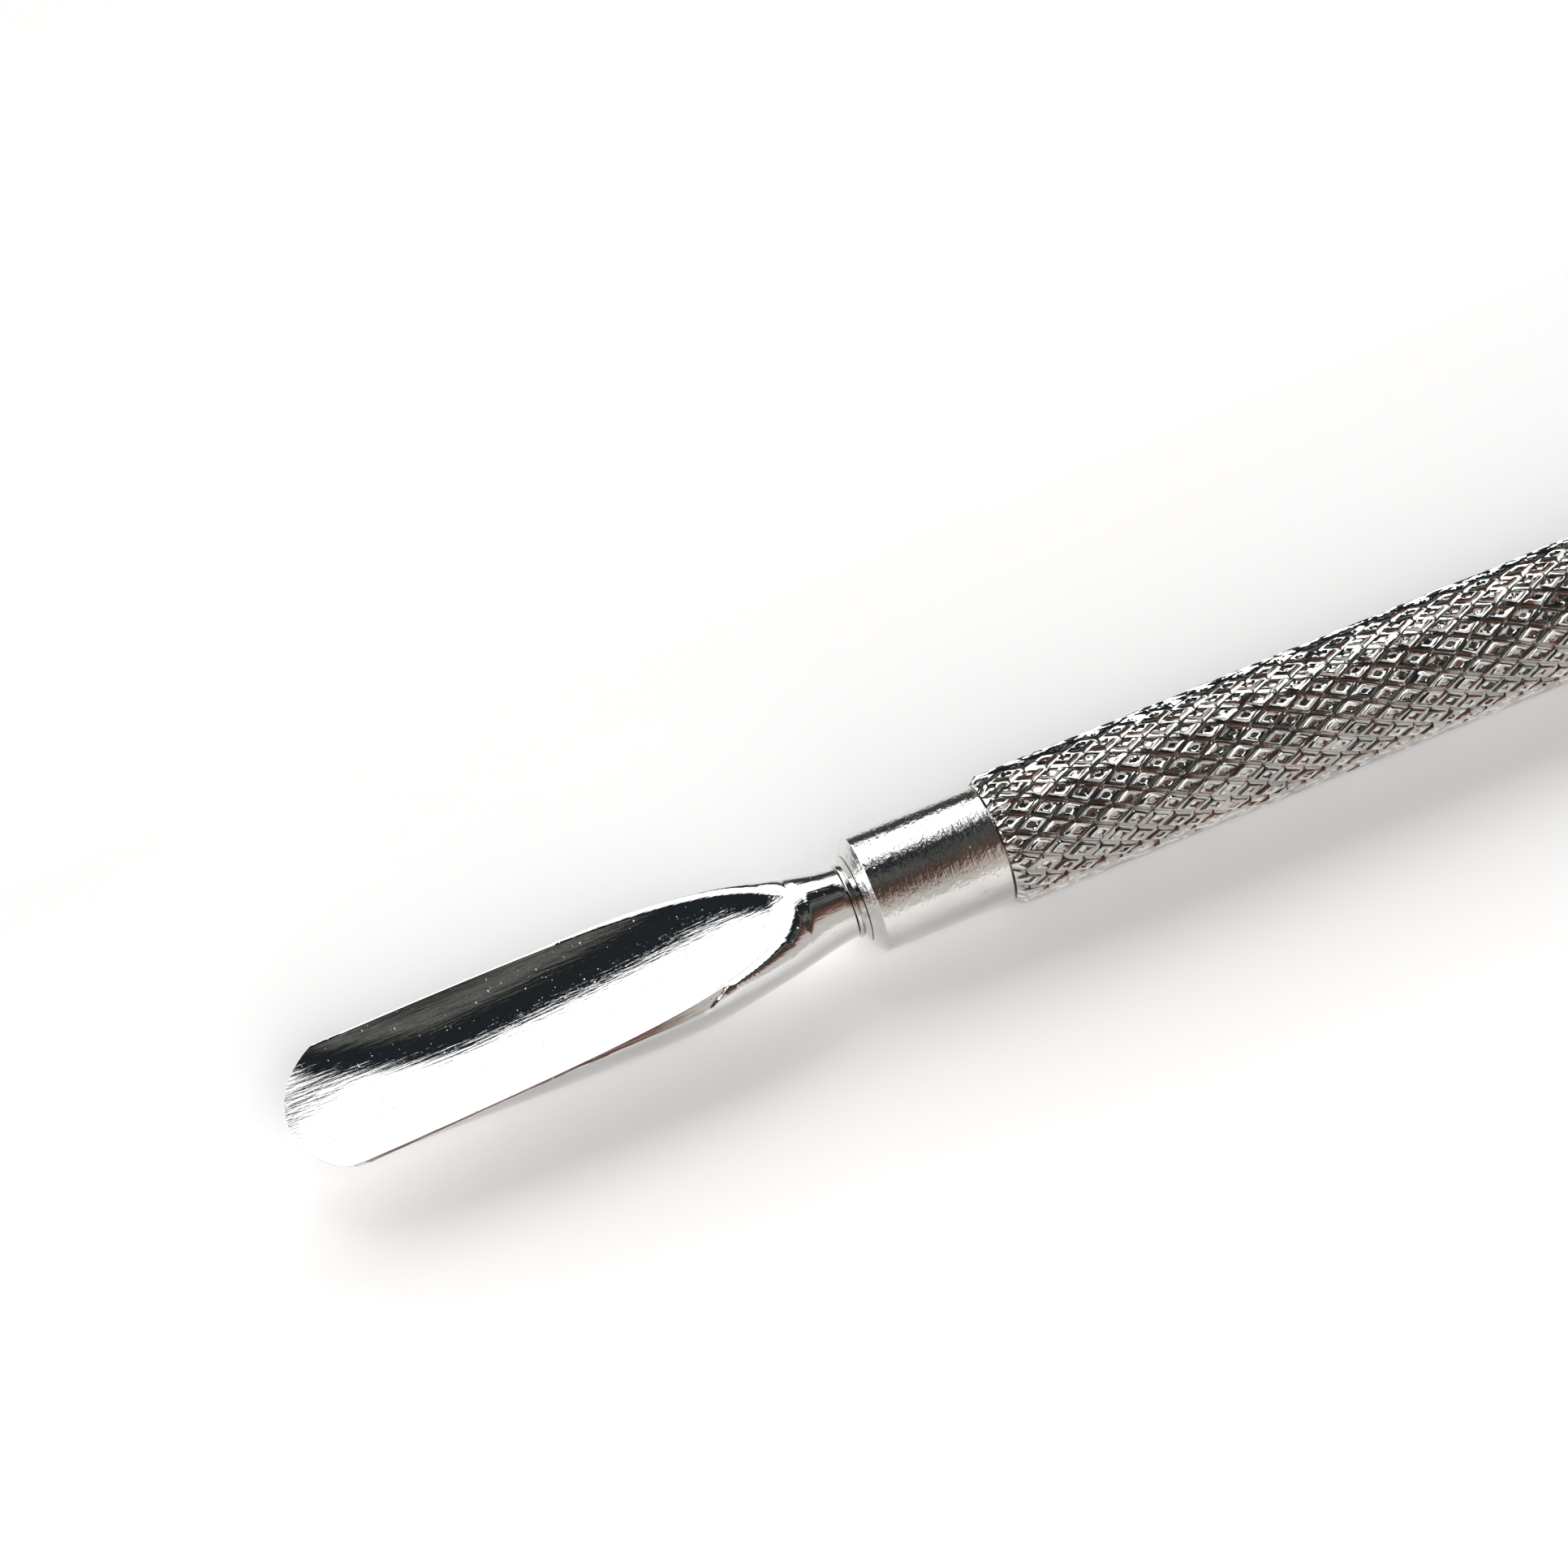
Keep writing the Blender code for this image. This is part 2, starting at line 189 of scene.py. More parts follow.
def specks(tree, place, spacing, radius, chosen, seed):
    """Small round pits or grains, one in some of the cells of a Voronoi pattern: 1 in a speck."""
    mapping = node(tree, "ShaderNodeMapping")
    mapping.inputs["Scale"].default_value = [1.0 / spacing] * 3
    mapping.inputs["Location"].default_value = (seed, seed, seed)
    tree.links.new(place, mapping.inputs["Vector"])
    cells = node(tree, "ShaderNodeTexVoronoi", Scale=1.0)
    tree.links.new(mapping.outputs[0], cells.inputs["Vector"])
    dot = remap(tree, cells.outputs["Distance"], 0.0, radius / spacing, 1.0, 0.0)
    lottery = node(tree, "ShaderNodeSeparateColor")
    tree.links.new(cells.outputs["Color"], lottery.inputs[0])
    pick = node(tree, "ShaderNodeMath", operation="LESS_THAN")
    pick.inputs[1].default_value = chosen
    tree.links.new(lottery.outputs[0], pick.inputs[0])
    both = node(tree, "ShaderNodeMath", operation="MULTIPLY")
    tree.links.new(dot, both.inputs[0])
    tree.links.new(pick.outputs[0], both.inputs[1])
    return both.outputs[0]


def steel(name, colours, roughness, layers, coordinates, speck_rows=()):
    """colours and roughness are (low, high) pairs; layers are (stretch, detail, depth in mm, seed)."""
    material = bpy.data.materials.new(name)
    material.use_nodes = True
    tree = material.node_tree
    shader = tree.nodes["Principled BSDF"]
    shader.inputs["Metallic"].default_value = 1.0
    place = coordinates(tree)
    first = marks(tree, place, layers[0][0], layers[0][1], layers[0][3])
    cloud = marks(tree, place, (3.0, 1.7, 2.0), 3.0, 11.0)
    mix = node(tree, "ShaderNodeMix", data_type="RGBA")
    mix.inputs["A"].default_value = (*colours[0], 1.0)
    mix.inputs["B"].default_value = (*colours[1], 1.0)
    tree.links.new(remap(tree, cloud, 0.35, 0.65, 0.0, 1.0), mix.inputs["Factor"])
    tree.links.new(mix.outputs["Result"], shader.inputs["Base Color"])
    tree.links.new(remap(tree, first, 0.3, 0.7, *roughness), shader.inputs["Roughness"])
    normal = None
    for stretch, detail, depth, seed in layers:
        bump = node(tree, "ShaderNodeBump", Strength=1.0, Distance=depth * MM)
        tree.links.new(marks(tree, place, stretch, detail, seed), bump.inputs["Height"])
        if normal is not None:
            tree.links.new(normal, bump.inputs["Normal"])
        normal = bump.outputs[0]
    for spacing, radius, chosen, depth, seed in speck_rows:
        bump = node(tree, "ShaderNodeBump", Strength=1.0, Distance=depth * MM)
        dots = specks(tree, flat_coordinates(tree), spacing, radius, chosen, seed)
        tree.links.new(dots, bump.inputs["Height"])
        tree.links.new(normal, bump.inputs["Normal"])
        normal = bump.outputs[0]
    tree.links.new(normal, shader.inputs["Normal"])
    return material


# %% [markdown]
# ## The knurled grip
#
# Two knurling wheels roll crossing grooves into the tube, nineteen starts each way. What is left
# between the grooves are diamonds, and their tops are squeezed up round the edges, so each has a
# small dent in its middle. A bump map would not give the rough outline of the grip, nor the way
# each diamond mirrors the room on its own. So each diamond is real mesh: six rings of points,
# from the groove floor up the flank, over the top and down into the dent. Random numbers with a
# fixed seed make every dent a little different, as rolled metal is.
#
# The diamonds start half a step round from the bottom, so the grip lies on two lines of crests. The
# CAD's crests stand at 3.5 mm, which puts its axis 3.488 mm over the floor. The fine diamonds have
# flat tops that reach further round, so they are kept to that smaller radius and just meet the floor.

# %% Sizes of the knurl
CREST_RADIUS = AXIS_HEIGHT / MM
GROOVE_RADIUS = 3.16
BORE_RADIUS = 2.3
COLLAR_RADIUS = 3.1
KNURL_STARTS = 19
KNURL_PITCH = 2.05
BEVEL_LENGTH = 0.42


# %% Build the knurl
def diamond_rings(rng):
    """(size, depth below the crest, roundness) of a diamond's rings, from groove to dent."""
    top = rng.uniform(0.0, 0.03)
    lip = rng.uniform(0.36, 0.44)
    dent = rng.uniform(0.08, 0.17)
    return [
        (1.00, CREST_RADIUS - GROOVE_RADIUS, 1.0),
        (0.91, CREST_RADIUS - GROOVE_RADIUS - 0.02, 1.0),
        (rng.uniform(0.74, 0.80), 0.10 + top, 1.02),
        (rng.uniform(0.56, 0.62), 0.004 + top, 1.04),
        (lip, 0.045 + top, 1.06),
        (lip * 0.60, 0.045 + top + dent, 1.10),
    ]


def diamond_outline(steps):
    """Points round a diamond of half-width and half-height 1, steps to a side."""
    corners = [(1.0, 0.0), (0.0, 1.0), (-1.0, 0.0), (0.0, -1.0)]
    outline = []
    for (ax, ay), (bx, by) in zip(corners, corners[1:] + corners[:1]):
        outline += [(ax + (bx - ax) * i / steps, ay + (by - ay) * i / steps) for i in range(steps)]
    return outline


def grip_point(x, turn, depth):
    """A point of the grip's skin: the bevelled ends hold the knurl down."""
    end = min(x, GRIP_LENGTH - x)
    limit = COLLAR_RADIUS + (CREST_RADIUS - COLLAR_RADIUS) * share(end, 0.0, BEVEL_LENGTH)
    radius = min(CREST_RADIUS - depth, limit)
    return Vector((x, radius * math.sin(turn), -radius * math.cos(turn)))


def close_tube(bm):
    """Trim the grip square at both ends, then carry its skin round into the bore."""
    loops = []
    for x, side in ((0.0, -1.0), (GRIP_LENGTH, 1.0)):
        everything = bm.verts[:] + bm.edges[:] + bm.faces[:]
        cut = bmesh.ops.bisect_plane(
            bm, geom=everything, dist=1e-5, plane_co=(x, 0, 0), plane_no=(side, 0, 0), clear_outer=True
        )
        rim = [e for e in cut["geom_cut"] if isinstance(e, bmesh.types.BMEdge)]
        grown = bmesh.ops.extrude_edge_only(bm, edges=rim)["geom"]
        for vert in (g for g in grown if isinstance(g, bmesh.types.BMVert)):
            radius = math.hypot(vert.co.y, vert.co.z)
            vert.co.y *= BORE_RADIUS / radius
            vert.co.z *= BORE_RADIUS / radius
        loops += [g for g in grown if isinstance(g, bmesh.types.BMEdge)]
    bmesh.ops.bridge_loops(bm, edges=loops)


def knurled_grip(material):
    rng = random.Random(19)
    bm = bmesh.new()
    outline = diamond_outline(3)
    turn_step = math.pi / KNURL_STARTS
    rows = int(GRIP_LENGTH / (KNURL_PITCH / 2)) + 2
    start = (GRIP_LENGTH - (rows - 1) * KNURL_PITCH / 2) / 2
    for row in range(rows):
        x = start + row * KNURL_PITCH / 2
        for side in range(KNURL_STARTS):
            turn = (2 * side + row % 2 + 0.5) * turn_step
            rings = []
            shift = (rng.uniform(-0.06, 0.06), rng.uniform(-0.06, 0.06))
            for level, (size, depth, roundness) in enumerate(diamond_rings(rng)):
                ring = []
                for u, v in outline:
                    square = 1.0 - (roundness - 1.0) * 2.0 * abs(abs(u) - abs(v))
                    jog = rng.uniform(-0.018, 0.018) if level > 1 else 0.0
                    du = u * size * square + (shift[0] + jog) * (level > 2)
                    dv = v * size * square + (shift[1] + jog) * (level > 2)
                    point = grip_point(x + du * KNURL_PITCH / 2, turn + dv * turn_step, depth + jog * 0.3)
                    ring.append(bm.verts.new(point))
                rings.append(ring)
            for outer, inner in zip(rings, rings[1:]):
                for i in range(len(outline)):
                    j = (i + 1) % len(outline)
                    bm.faces.new((outer[i], outer[j], inner[j], inner[i]))
            bm.faces.new(rings[-1])
    bmesh.ops.remove_doubles(bm, verts=bm.verts, dist=2e-4)
    close_tube(bm)
    return finish_piece("knurled_grip", bm, "handle_tube", GRIP_START, False, 35, material)


knurled = steel(
    "knurled_steel",
    ((0.60, 0.60, 0.59), (0.72, 0.71, 0.69)),
    (0.05, 0.11),
    [((0.30, 0.30, 0.30), 3.0, 0.008, 3.0), ((0.9, 0.12, 0.5), 2.0, 0.004, 5.0)],
    cylinder_coordinates,
)
knurled_grip(knurled)

# %% [markdown]
# ## Collars and root rings
#
# The collars were turned on a lathe. They are round, so the whole shape is one outline spun about
# the axis. A real turned edge is never perfectly sharp, and it is the small bevel that catches
# the light, so each corner of the outline is a short curve. The tube's end stands one tenth of a
# millimetre behind the barrel, and that narrow seam is the dark line before the knurl.


# %% Spin an outline
def spin_outline(outline, sides):
    bm = bmesh.new()
    verts = [bm.verts.new((x, 0.0, radius)) for x, radius in outline]
    edges = [bm.edges.new((a, b)) for a, b in zip(verts, verts[1:] + verts[:1])]
    bmesh.ops.spin(
        bm,
        geom=verts + edges,
        cent=(0, 0, 0),
        axis=(1, 0, 0),
        angle=2 * math.pi,
        steps=sides,
        use_merge=True,
    )
    return bm


def rounded(corners):
    """Replace each (x, radius, bend) corner by a short curve that starts and ends bend away."""
    outline = []
    for before, corner, after in zip(corners[-1:] + corners[:-1], corners, corners[1:] + corners[:1]):
        here = Vector(corner[:2])
        if corner[2] == 0.0:
            outline.append(tuple(here))
            continue
        start = here + (Vector(before[:2]) - here).normalized() * corner[2]
        end = here + (Vector(after[:2]) - here).normalized() * corner[2]
        for step in range(5):
            t = step / 4
            outline.append(tuple(start * (1 - t) ** 2 + here * 2 * t * (1 - t) + end * t * t))
    return outline


# %% Build the collars
NOSE_RADIUS = 2.36
SOCKET_RADIUS = 1.25
SPIGOT_RADIUS = 2.25
SPIGOT_END = 12.95
SOCKET_DEPTH = 6.0
DRILL_RADIUS = 0.6
SEAM = 0.10
COLLAR_SIDES = 192


def turned_collar(name, node_name, edge_x, turned, material):
    back = COLLAR_LENGTH - SEAM
    corners = [
        (-NOSE_LENGTH, NOSE_RADIUS, 0.02),
        (0.0, COLLAR_RADIUS, 0.045),
        (back, COLLAR_RADIUS, 0.05),
        (back, SPIGOT_RADIUS, 0.0),
        (SPIGOT_END, SPIGOT_RADIUS, 0.1),
        (SPIGOT_END, DRILL_RADIUS, 0.0),
        (SOCKET_DEPTH + 0.4, DRILL_RADIUS, 0.0),
        (SOCKET_DEPTH, SOCKET_RADIUS, 0.0),
        (-NOSE_LENGTH, SOCKET_RADIUS, 0.0),
    ]
    bm = spin_outline(rounded(corners), COLLAR_SIDES)
    return finish_piece(name, bm, node_name, edge_x, turned, 40, material)


turned_steel = steel(
    "turned_steel",
    ((0.66, 0.655, 0.64), (0.76, 0.75, 0.735)),
    (0.07, 0.14),
    [((0.10, 1.10, 1.0), 3.0, 0.020, 2.0), ((0.26, 0.32, 1.0), 4.0, 0.034, 7.0)],
    cylinder_coordinates,
    [(0.45, 0.060, 0.35, 0.030, 4.0)],
)
turned_collar("spoon_barrel", "spoon_collar", SPOON_EDGE, False, turned_steel)
turned_collar("scraper_barrel", "scraper_collar", SCRAPER_EDGE, True, turned_steel)

# %% [markdown]
# Where the neck goes into the nose, braze metal has run into the corner. It makes a hollow curve
# off the cone and ends in a small bead on the neck. This is the brightest, roundest detail of
# the joint, so it gets its own piece and a smoother finish than the collar.

# %% Build the root rings
RING_CURVE = 0.26
RING_THROAT = 1.91
RING_BEAD = 0.22
RING_STEPS = 12
RING_SIDES = 160


def braze_ring(name, node_name, edge_x, turned, material):
    start = -NOSE_LENGTH - 0.05
    outer = NOSE_RADIUS - 0.06
    outline = []
    for step in range(RING_STEPS + 1):
        angle = math.pi / 2 * step / RING_STEPS
        drop = (outer - RING_THROAT) * (1.0 - math.sin(angle))
        outline.append((start - RING_CURVE * math.sin(angle), RING_THROAT + drop))
    for step in range(1, RING_STEPS + 1):
        angle = math.pi * step / RING_STEPS
        x = start - RING_CURVE - RING_BEAD * (1.0 - math.cos(angle)) / 2
        outline.append((x, RING_THROAT + RING_BEAD * 0.4 * math.sin(angle)))
    outline += [(outline[-1][0], SOCKET_RADIUS), (start, SOCKET_RADIUS)]
    bm = spin_outline(outline, RING_SIDES)
    return finish_piece(name, bm, node_name, edge_x, turned, 40, material)


braze = steel(
    "braze",
    ((0.60, 0.585, 0.56), (0.72, 0.71, 0.69)),
    (0.06, 0.14),
    [((0.10, 0.30, 1.0), 2.0, 0.006, 6.0)],
    cylinder_coordinates,
)
braze_ring("spoon_braze", "spoon_root_ring", SPOON_EDGE, False, braze)
braze_ring("scraper_braze", "scraper_root_ring", SCRAPER_EDGE, True, braze)

# %% [markdown]
# ## The spoon
#
# The spoon is forged from bar: a round neck opens into a half-round blade, and a shallow hollow is
# ground into its top, running out at the thin rounded tip. Cutting such a hollow with a Boolean
# leaves ragged triangles, and those show at once in polished metal. So the blade is lofted
# instead: a function gives the closed section at any distance from the collar, and rings of
# points are skinned together. The rings bow forward near the tip, so the last one is the rounded
# edge itself. They are closest together at the hollow's root and along the ground rim.

# %% Sizes of the spoon
NECK_START = 1.12
NECK_RADIUS = 1.86
SHANK_RADIUS = 1.18
SHANK_DEPTH = 5.2
SPOON_ROOT = 3.75
SPOON_CORNER = 28.35
SPOON_HALF_WIDTH = 3.97
SPOON_DEEPEST = 11.5
SPOON_BELLY = 3.14
TIP_RADIUS = 4.15
TIP_UNDERSIDE = 0.15
BOW_START = 16.0
FLARE_WIDTH = 1.80
FLARE_LENGTH = 5.0
RIM_HEIGHT = 0.36
RIM_SLOPE = 0.0475
LAND_WIDTH = 0.26
EDGE_WIDTH = 0.05
HOLLOW_HALF_WIDTH = 3.87
HOLLOW_DEPTH = 1.38
HOLLOW_SINK_LENGTH = 11.0
ROOT_STEP = 0.13
NEAR_WALL_RISE = 0.42
NEAR_WALL_BLEND = 0.25
STEEP_RIM = 0.10
CORNER_BOW = math.sqrt(TIP_RADIUS ** 2 - SPOON_HALF_WIDTH ** 2)
SPOON_REACH = SPOON_CORNER + TIP_RADIUS - CORNER_BOW


# %% Lines along the blade
def half_width(s):
    flare = 1.0 - math.exp(-((max(s, 1.0) - 1.0) / FLARE_LENGTH) ** 1.6)
    spread = SPOON_HALF_WIDTH - NECK_RADIUS - FLARE_WIDTH
    return NECK_RADIUS + FLARE_WIDTH * flare + spread * share(s, 8.0, SPOON_CORNER)


def underside(s):
    if s < SPOON_DEEPEST:
        return -NECK_RADIUS - (SPOON_BELLY - NECK_RADIUS) * ease(s, NECK_START, SPOON_DEEPEST)
    return -SPOON_BELLY + (SPOON_BELLY - TIP_UNDERSIDE) * share(s, SPOON_DEEPEST, SPOON_REACH) ** 2


def rim_height(s):
    plane = RIM_HEIGHT + RIM_SLOPE * (SPOON_CORNER - s)
    neck = NECK_RADIUS + 0.28 * ease(s, 1.0, 3.5)
    return neck + (plane - neck) * ease(s, SPOON_ROOT - 0.6, SPOON_ROOT + 1.3)


def widest_height(s):
    return min(0.5 * ease(s, 2.5, 7.5) + 0.3 * ease(s, 10.0, 16.0), rim_height(s) - 0.10)


def hollow_half_width(s):
    return HOLLOW_HALF_WIDTH * (1.0 - math.exp(-(max(s - SPOON_ROOT, 0.0) / 3.5) ** 0.80))


def hollow_floor(s):
    beyond = max(s - SPOON_ROOT, 0.0)
    sinking = 1.0 - math.exp(-(beyond / HOLLOW_SINK_LENGTH) ** 1.3)
    shallowing = 1.0 - 0.78 * share(s, 22.0, SPOON_REACH) ** 2
    step = ROOT_STEP * (1.0 - math.exp(-beyond / 0.22)) * (1.0 - ease(s, 5.0, 9.0))
    return rim_height(s) - step - HOLLOW_DEPTH * sinking * shallowing


def land_width(s):
    width = LAND_WIDTH - (LAND_WIDTH - EDGE_WIDTH) * share(s, 12.0, 17.0)
    return width * share(s, SPOON_ROOT, SPOON_ROOT + 0.8)


# %% [markdown]
# The near rim was dressed by hand: a flat was ground along it, which starts in a slanting line
# and fades out towards the tip, and the wheel chattered where it first touched, leaving a few small
# steps. Both are part of the section: the flat straightens the shoulder, and the steps press it
# in by a few hundredths of a millimetre.
#
# The hollow is an arc of a circle on the far side. On the near side it is kept flatter, and turns up
# steeply just inside the rim. That is a choice for the look and not a known shape: a plain arc would
# mirror a dark band along the near rim. At its root the hollow begins with a small step.

# %% The blade's section
ARC_STEPS = 96
SHOULDER_STEPS = 18
FACET_START = 8.4
FACET_SLANT = (1.6, 1.75)
FACET_SOFTNESS = 0.12
FACET_SLOPE = 1.15
CHATTER_START = 6.6
CHATTER_END = 8.3
CHATTER_FADE = 0.3
CHATTER_PITCH = 0.29
CHATTER_DEPTH = 0.035


def shoulder(s, rim, ground):
    """Points from the widest place up to the rim. ground says if this is the dressed side."""
    wide, waist, top = half_width(s), widest_height(s), rim_height(s)
    points = []
    for step in range(1, SHOULDER_STEPS + 1):
        t = step / SHOULDER_STEPS
        angle = math.pi / 2 * t
        y = rim + (wide - rim) * math.cos(angle)
        z = waist + (top - waist) * math.sin(angle)
        if ground:
            begin = FACET_START + FACET_SLANT[0] * (1.0 - t)
            facet = ease(s, begin, FACET_START + FACET_SLANT[1] * (1.0 - t) + FACET_SOFTNESS)
            y += (wide + (rim - wide) * t - y) * facet
            z += (top - (wide - rim) * FACET_SLOPE * (1.0 - t) - z) * facet
            chatter = max(0.0, math.sin(2 * math.pi * (s - 0.25 * t) / CHATTER_PITCH))
            chatter *= ease(s, CHATTER_START, CHATTER_START + CHATTER_FADE)
            chatter *= 1.0 - ease(s, CHATTER_END - CHATTER_FADE, CHATTER_END)
            y -= CHATTER_DEPTH * chatter * math.sin(math.pi * t) ** 0.5
        points.append((y, z))
    return points


def blade_section(s):
    wide = half_width(s)
    hollow = hollow_half_width(s)
    rim = min(hollow + land_width(s), wide - 0.01)
    dressed = min(hollow + 0.02, wide - 0.01)
    near_rim = rim + (dressed - rim) * ease(s, FACET_START - 0.3, FACET_START + 0.5)
    waist, under = widest_height(s), underside(s)
    steepest = math.radians(90.0 - 22.0 * share(s, 16.0, SPOON_REACH) ** 1.5)
    across = wide / math.sin(steepest)
    drop = (waist - under) / (1.0 - math.cos(steepest))
    loop = []
    for step in range(ARC_STEPS + 1):
        angle = steepest * (2.0 * step / ARC_STEPS - 1.0)
        loop.append((across * math.sin(angle), under + drop * (1.0 - math.cos(angle))))
    loop += shoulder(s, rim, False)
    top, floor = rim_height(s), hollow_floor(s)
    lean = max(2.0 * math.atan2(top - floor, hollow), 0.05)
    bowl = (top - floor) / (1.0 - math.cos(lean))
    for step in range(ARC_STEPS + 1):
        angle = lean * (1.0 - 2.0 * step / ARC_STEPS)
        y = hollow * math.sin(angle) / math.sin(lean)
        z = floor + bowl * (1.0 - math.cos(angle))
        near = max(0.0, -y / hollow) if hollow > 0.01 else 0.0
        gentle = floor + (top - floor) * NEAR_WALL_RISE * near ** 2
        z += (gentle - z) * ease(near, 0.0, NEAR_WALL_BLEND)
        z += (top - z) * ease(near, 1.0 - STEEP_RIM, 1.0)
        loop.append((y, z))
    loop += [(-y, z) for y, z in reversed(shoulder(s, near_rim, True))]
    return loop


# %% Skin the blade
def tip_bow(s, y):
    bow = math.sqrt(TIP_RADIUS ** 2 - min(abs(y), SPOON_HALF_WIDTH) ** 2) - CORNER_BOW
    return bow * share(s, BOW_START, SPOON_CORNER) ** 1.5


def ring_places():
    spans = [
        (NECK_START, SPOON_ROOT, 0.15),
        (SPOON_ROOT, 4.6, 0.03),
        (4.6, 6.4, 0.09),
        (6.4, 10.4, 0.035),
        (10.4, SPOON_CORNER, 0.15),
    ]
    places = []
    for start, end, step in spans:
        count = round((end - start) / step)
        places += [start + (end - start) * i / count for i in range(count)]
    return places + [SPOON_CORNER]


def skin(bm, rings):
    size = len(rings[0])
    for near, far in zip(rings, rings[1:]):
        for i in range(size):
            j = (i + 1) % size
            bm.faces.new((near[i], near[j], far[j], far[i]))


def shank_rings(bm, loop):
    scale = SHANK_RADIUS / NECK_RADIUS
    return [[bm.verts.new((x, y * scale, z * scale)) for y, z in loop] for x in (SHANK_DEPTH, -NECK_START)]


def close_tip(bm, ring):
    under = ring[:ARC_STEPS + 1]
    right = ring[ARC_STEPS + 1:ARC_STEPS + 1 + SHOULDER_STEPS]
    hollow = ring[ARC_STEPS + 1 + SHOULDER_STEPS:2 * ARC_STEPS + 2 + SHOULDER_STEPS][::-1]
    left = ring[2 * ARC_STEPS + 2 + SHOULDER_STEPS:]
    for i in range(ARC_STEPS):
        bm.faces.new((under[i], under[i + 1], hollow[i + 1], hollow[i]))
    bm.faces.new([under[-1]] + right + [hollow[-1]])
    bm.faces.new([hollow[0]] + left + [under[0]])


def spoon_blade(material):
    bm = bmesh.new()
    rings = shank_rings(bm, blade_section(NECK_START))
    for s in ring_places():
        ring = []
        base = blade_section(s)
        bent = {}
        for index, (y, z) in enumerate(base):
            bowed = s + tip_bow(s, y)
            if bowed > s + 1e-6:
                key = round(bowed, 2)
                if key not in bent:
                    bent[key] = blade_section(key)
                z = bent[key][index][1]
            ring.append(bm.verts.new((-bowed, y, z)))
        rings.append(ring)
    skin(bm, rings)
    bm.faces.new(rings[0])
    close_tip(bm, rings[-1])
    return finish_piece("spoon_blade", bm, "spoon_tip", SPOON_EDGE, False, 28, material)


polished = steel(
    "polished_steel",
    ((0.72, 0.72, 0.715), (0.78, 0.78, 0.775)),
    (0.03, 0.07),
    [((6.0, 0.15, 0.15), 4.0, 0.015, 9.0), ((3.0, 0.6, 0.6), 2.0, 0.005, 13.0)],
    flat_coordinates,
    [(0.42, 0.055, 0.40, 0.030, 5.0), (0.20, 0.028, 0.22, 0.014, 8.0)],
)
spoon_blade(polished)

# %% [markdown]
# ## The scraper
#
# The other end is a slim flat blade with one ground bevel and a slanted edge. It is lofted like
# the spoon: the neck's round section flattens by steps, and the last two rings follow the slant.

# %% Build the scraper
SCRAPER_REACH = 21.5
SCRAPER_SLANT = 3.4
SCRAPER_HALF_WIDTH = 2.5
SCRAPER_HALF_THICK = 0.45
SCRAPER_BEVEL = 2.6
SCRAPER_EDGE_THICK = 0.15
SCRAPER_FLAT_START = 13.5
SCRAPER_SIDE_STEPS = 48
SCRAPER_RINGS = 90


def scraper_section(s):
    flat_share = ease(s, 6.0, SCRAPER_FLAT_START)
    slim = NECK_RADIUS - 0.45 * ease(s, NECK_START, 6.0)
    wide = slim + (SCRAPER_HALF_WIDTH - slim) * flat_share
    thick = slim + (SCRAPER_HALF_THICK - slim) * flat_share
    flat = (SCRAPER_HALF_WIDTH - 0.35) * flat_share
    loop = []
    for side in (1.0, -1.0):
        for step in range(SCRAPER_SIDE_STEPS + 1):
            angle = math.pi * step / SCRAPER_SIDE_STEPS - math.pi / 2
            loop.append((side * (flat + (wide - flat) * math.cos(angle)), side * thick * math.sin(angle)))
    return loop


def scraper_blade(material):
    bm = bmesh.new()
    rings = shank_rings(bm, scraper_section(NECK_START))
    for i in range(SCRAPER_RINGS + 1):
        s = NECK_START + (SCRAPER_FLAT_START - NECK_START) * i / SCRAPER_RINGS
        rings.append([bm.verts.new((-s, y, z)) for y, z in scraper_section(s)])
    thick = 2.0 * SCRAPER_HALF_THICK
    for back, ground in ((SCRAPER_BEVEL, 0.0), (0.0, thick - SCRAPER_EDGE_THICK)):
        ring = []
        for y, z in scraper_section(SCRAPER_FLAT_START):
            reach = SCRAPER_REACH - SCRAPER_SLANT * (0.5 + 0.5 * y / SCRAPER_HALF_WIDTH) - back
            height = (z + SCRAPER_HALF_THICK) / thick
            ring.append(bm.verts.new((-reach, y, z - ground * height)))
        rings.append(ring)
    skin(bm, rings)
    bm.faces.new(rings[0])
    bm.faces.new(rings[-1])
    return finish_piece("scraper_blade", bm, "scraper_tip", SCRAPER_EDGE, True, 20, material)


scraper_blade(polished)

# %% [markdown]
# ## Floor, light and camera
#
# Polished steel shows its surroundings, so the light is the second half of the material. The
# studio is a soft white light that hangs over the far side of the tool, in a dark room, with a
# warm wall low on the near side. Lamps of a set size would do, but their edges would have to be
# tuned one by one. A world whose colour depends on the direction across the tool gives the same
# bands on every round piece, and it lights the floor softly as well. The white light's lower edge
# climbs towards both ends of the tool, which carries the hollow's dark band towards the root and
# the tip.

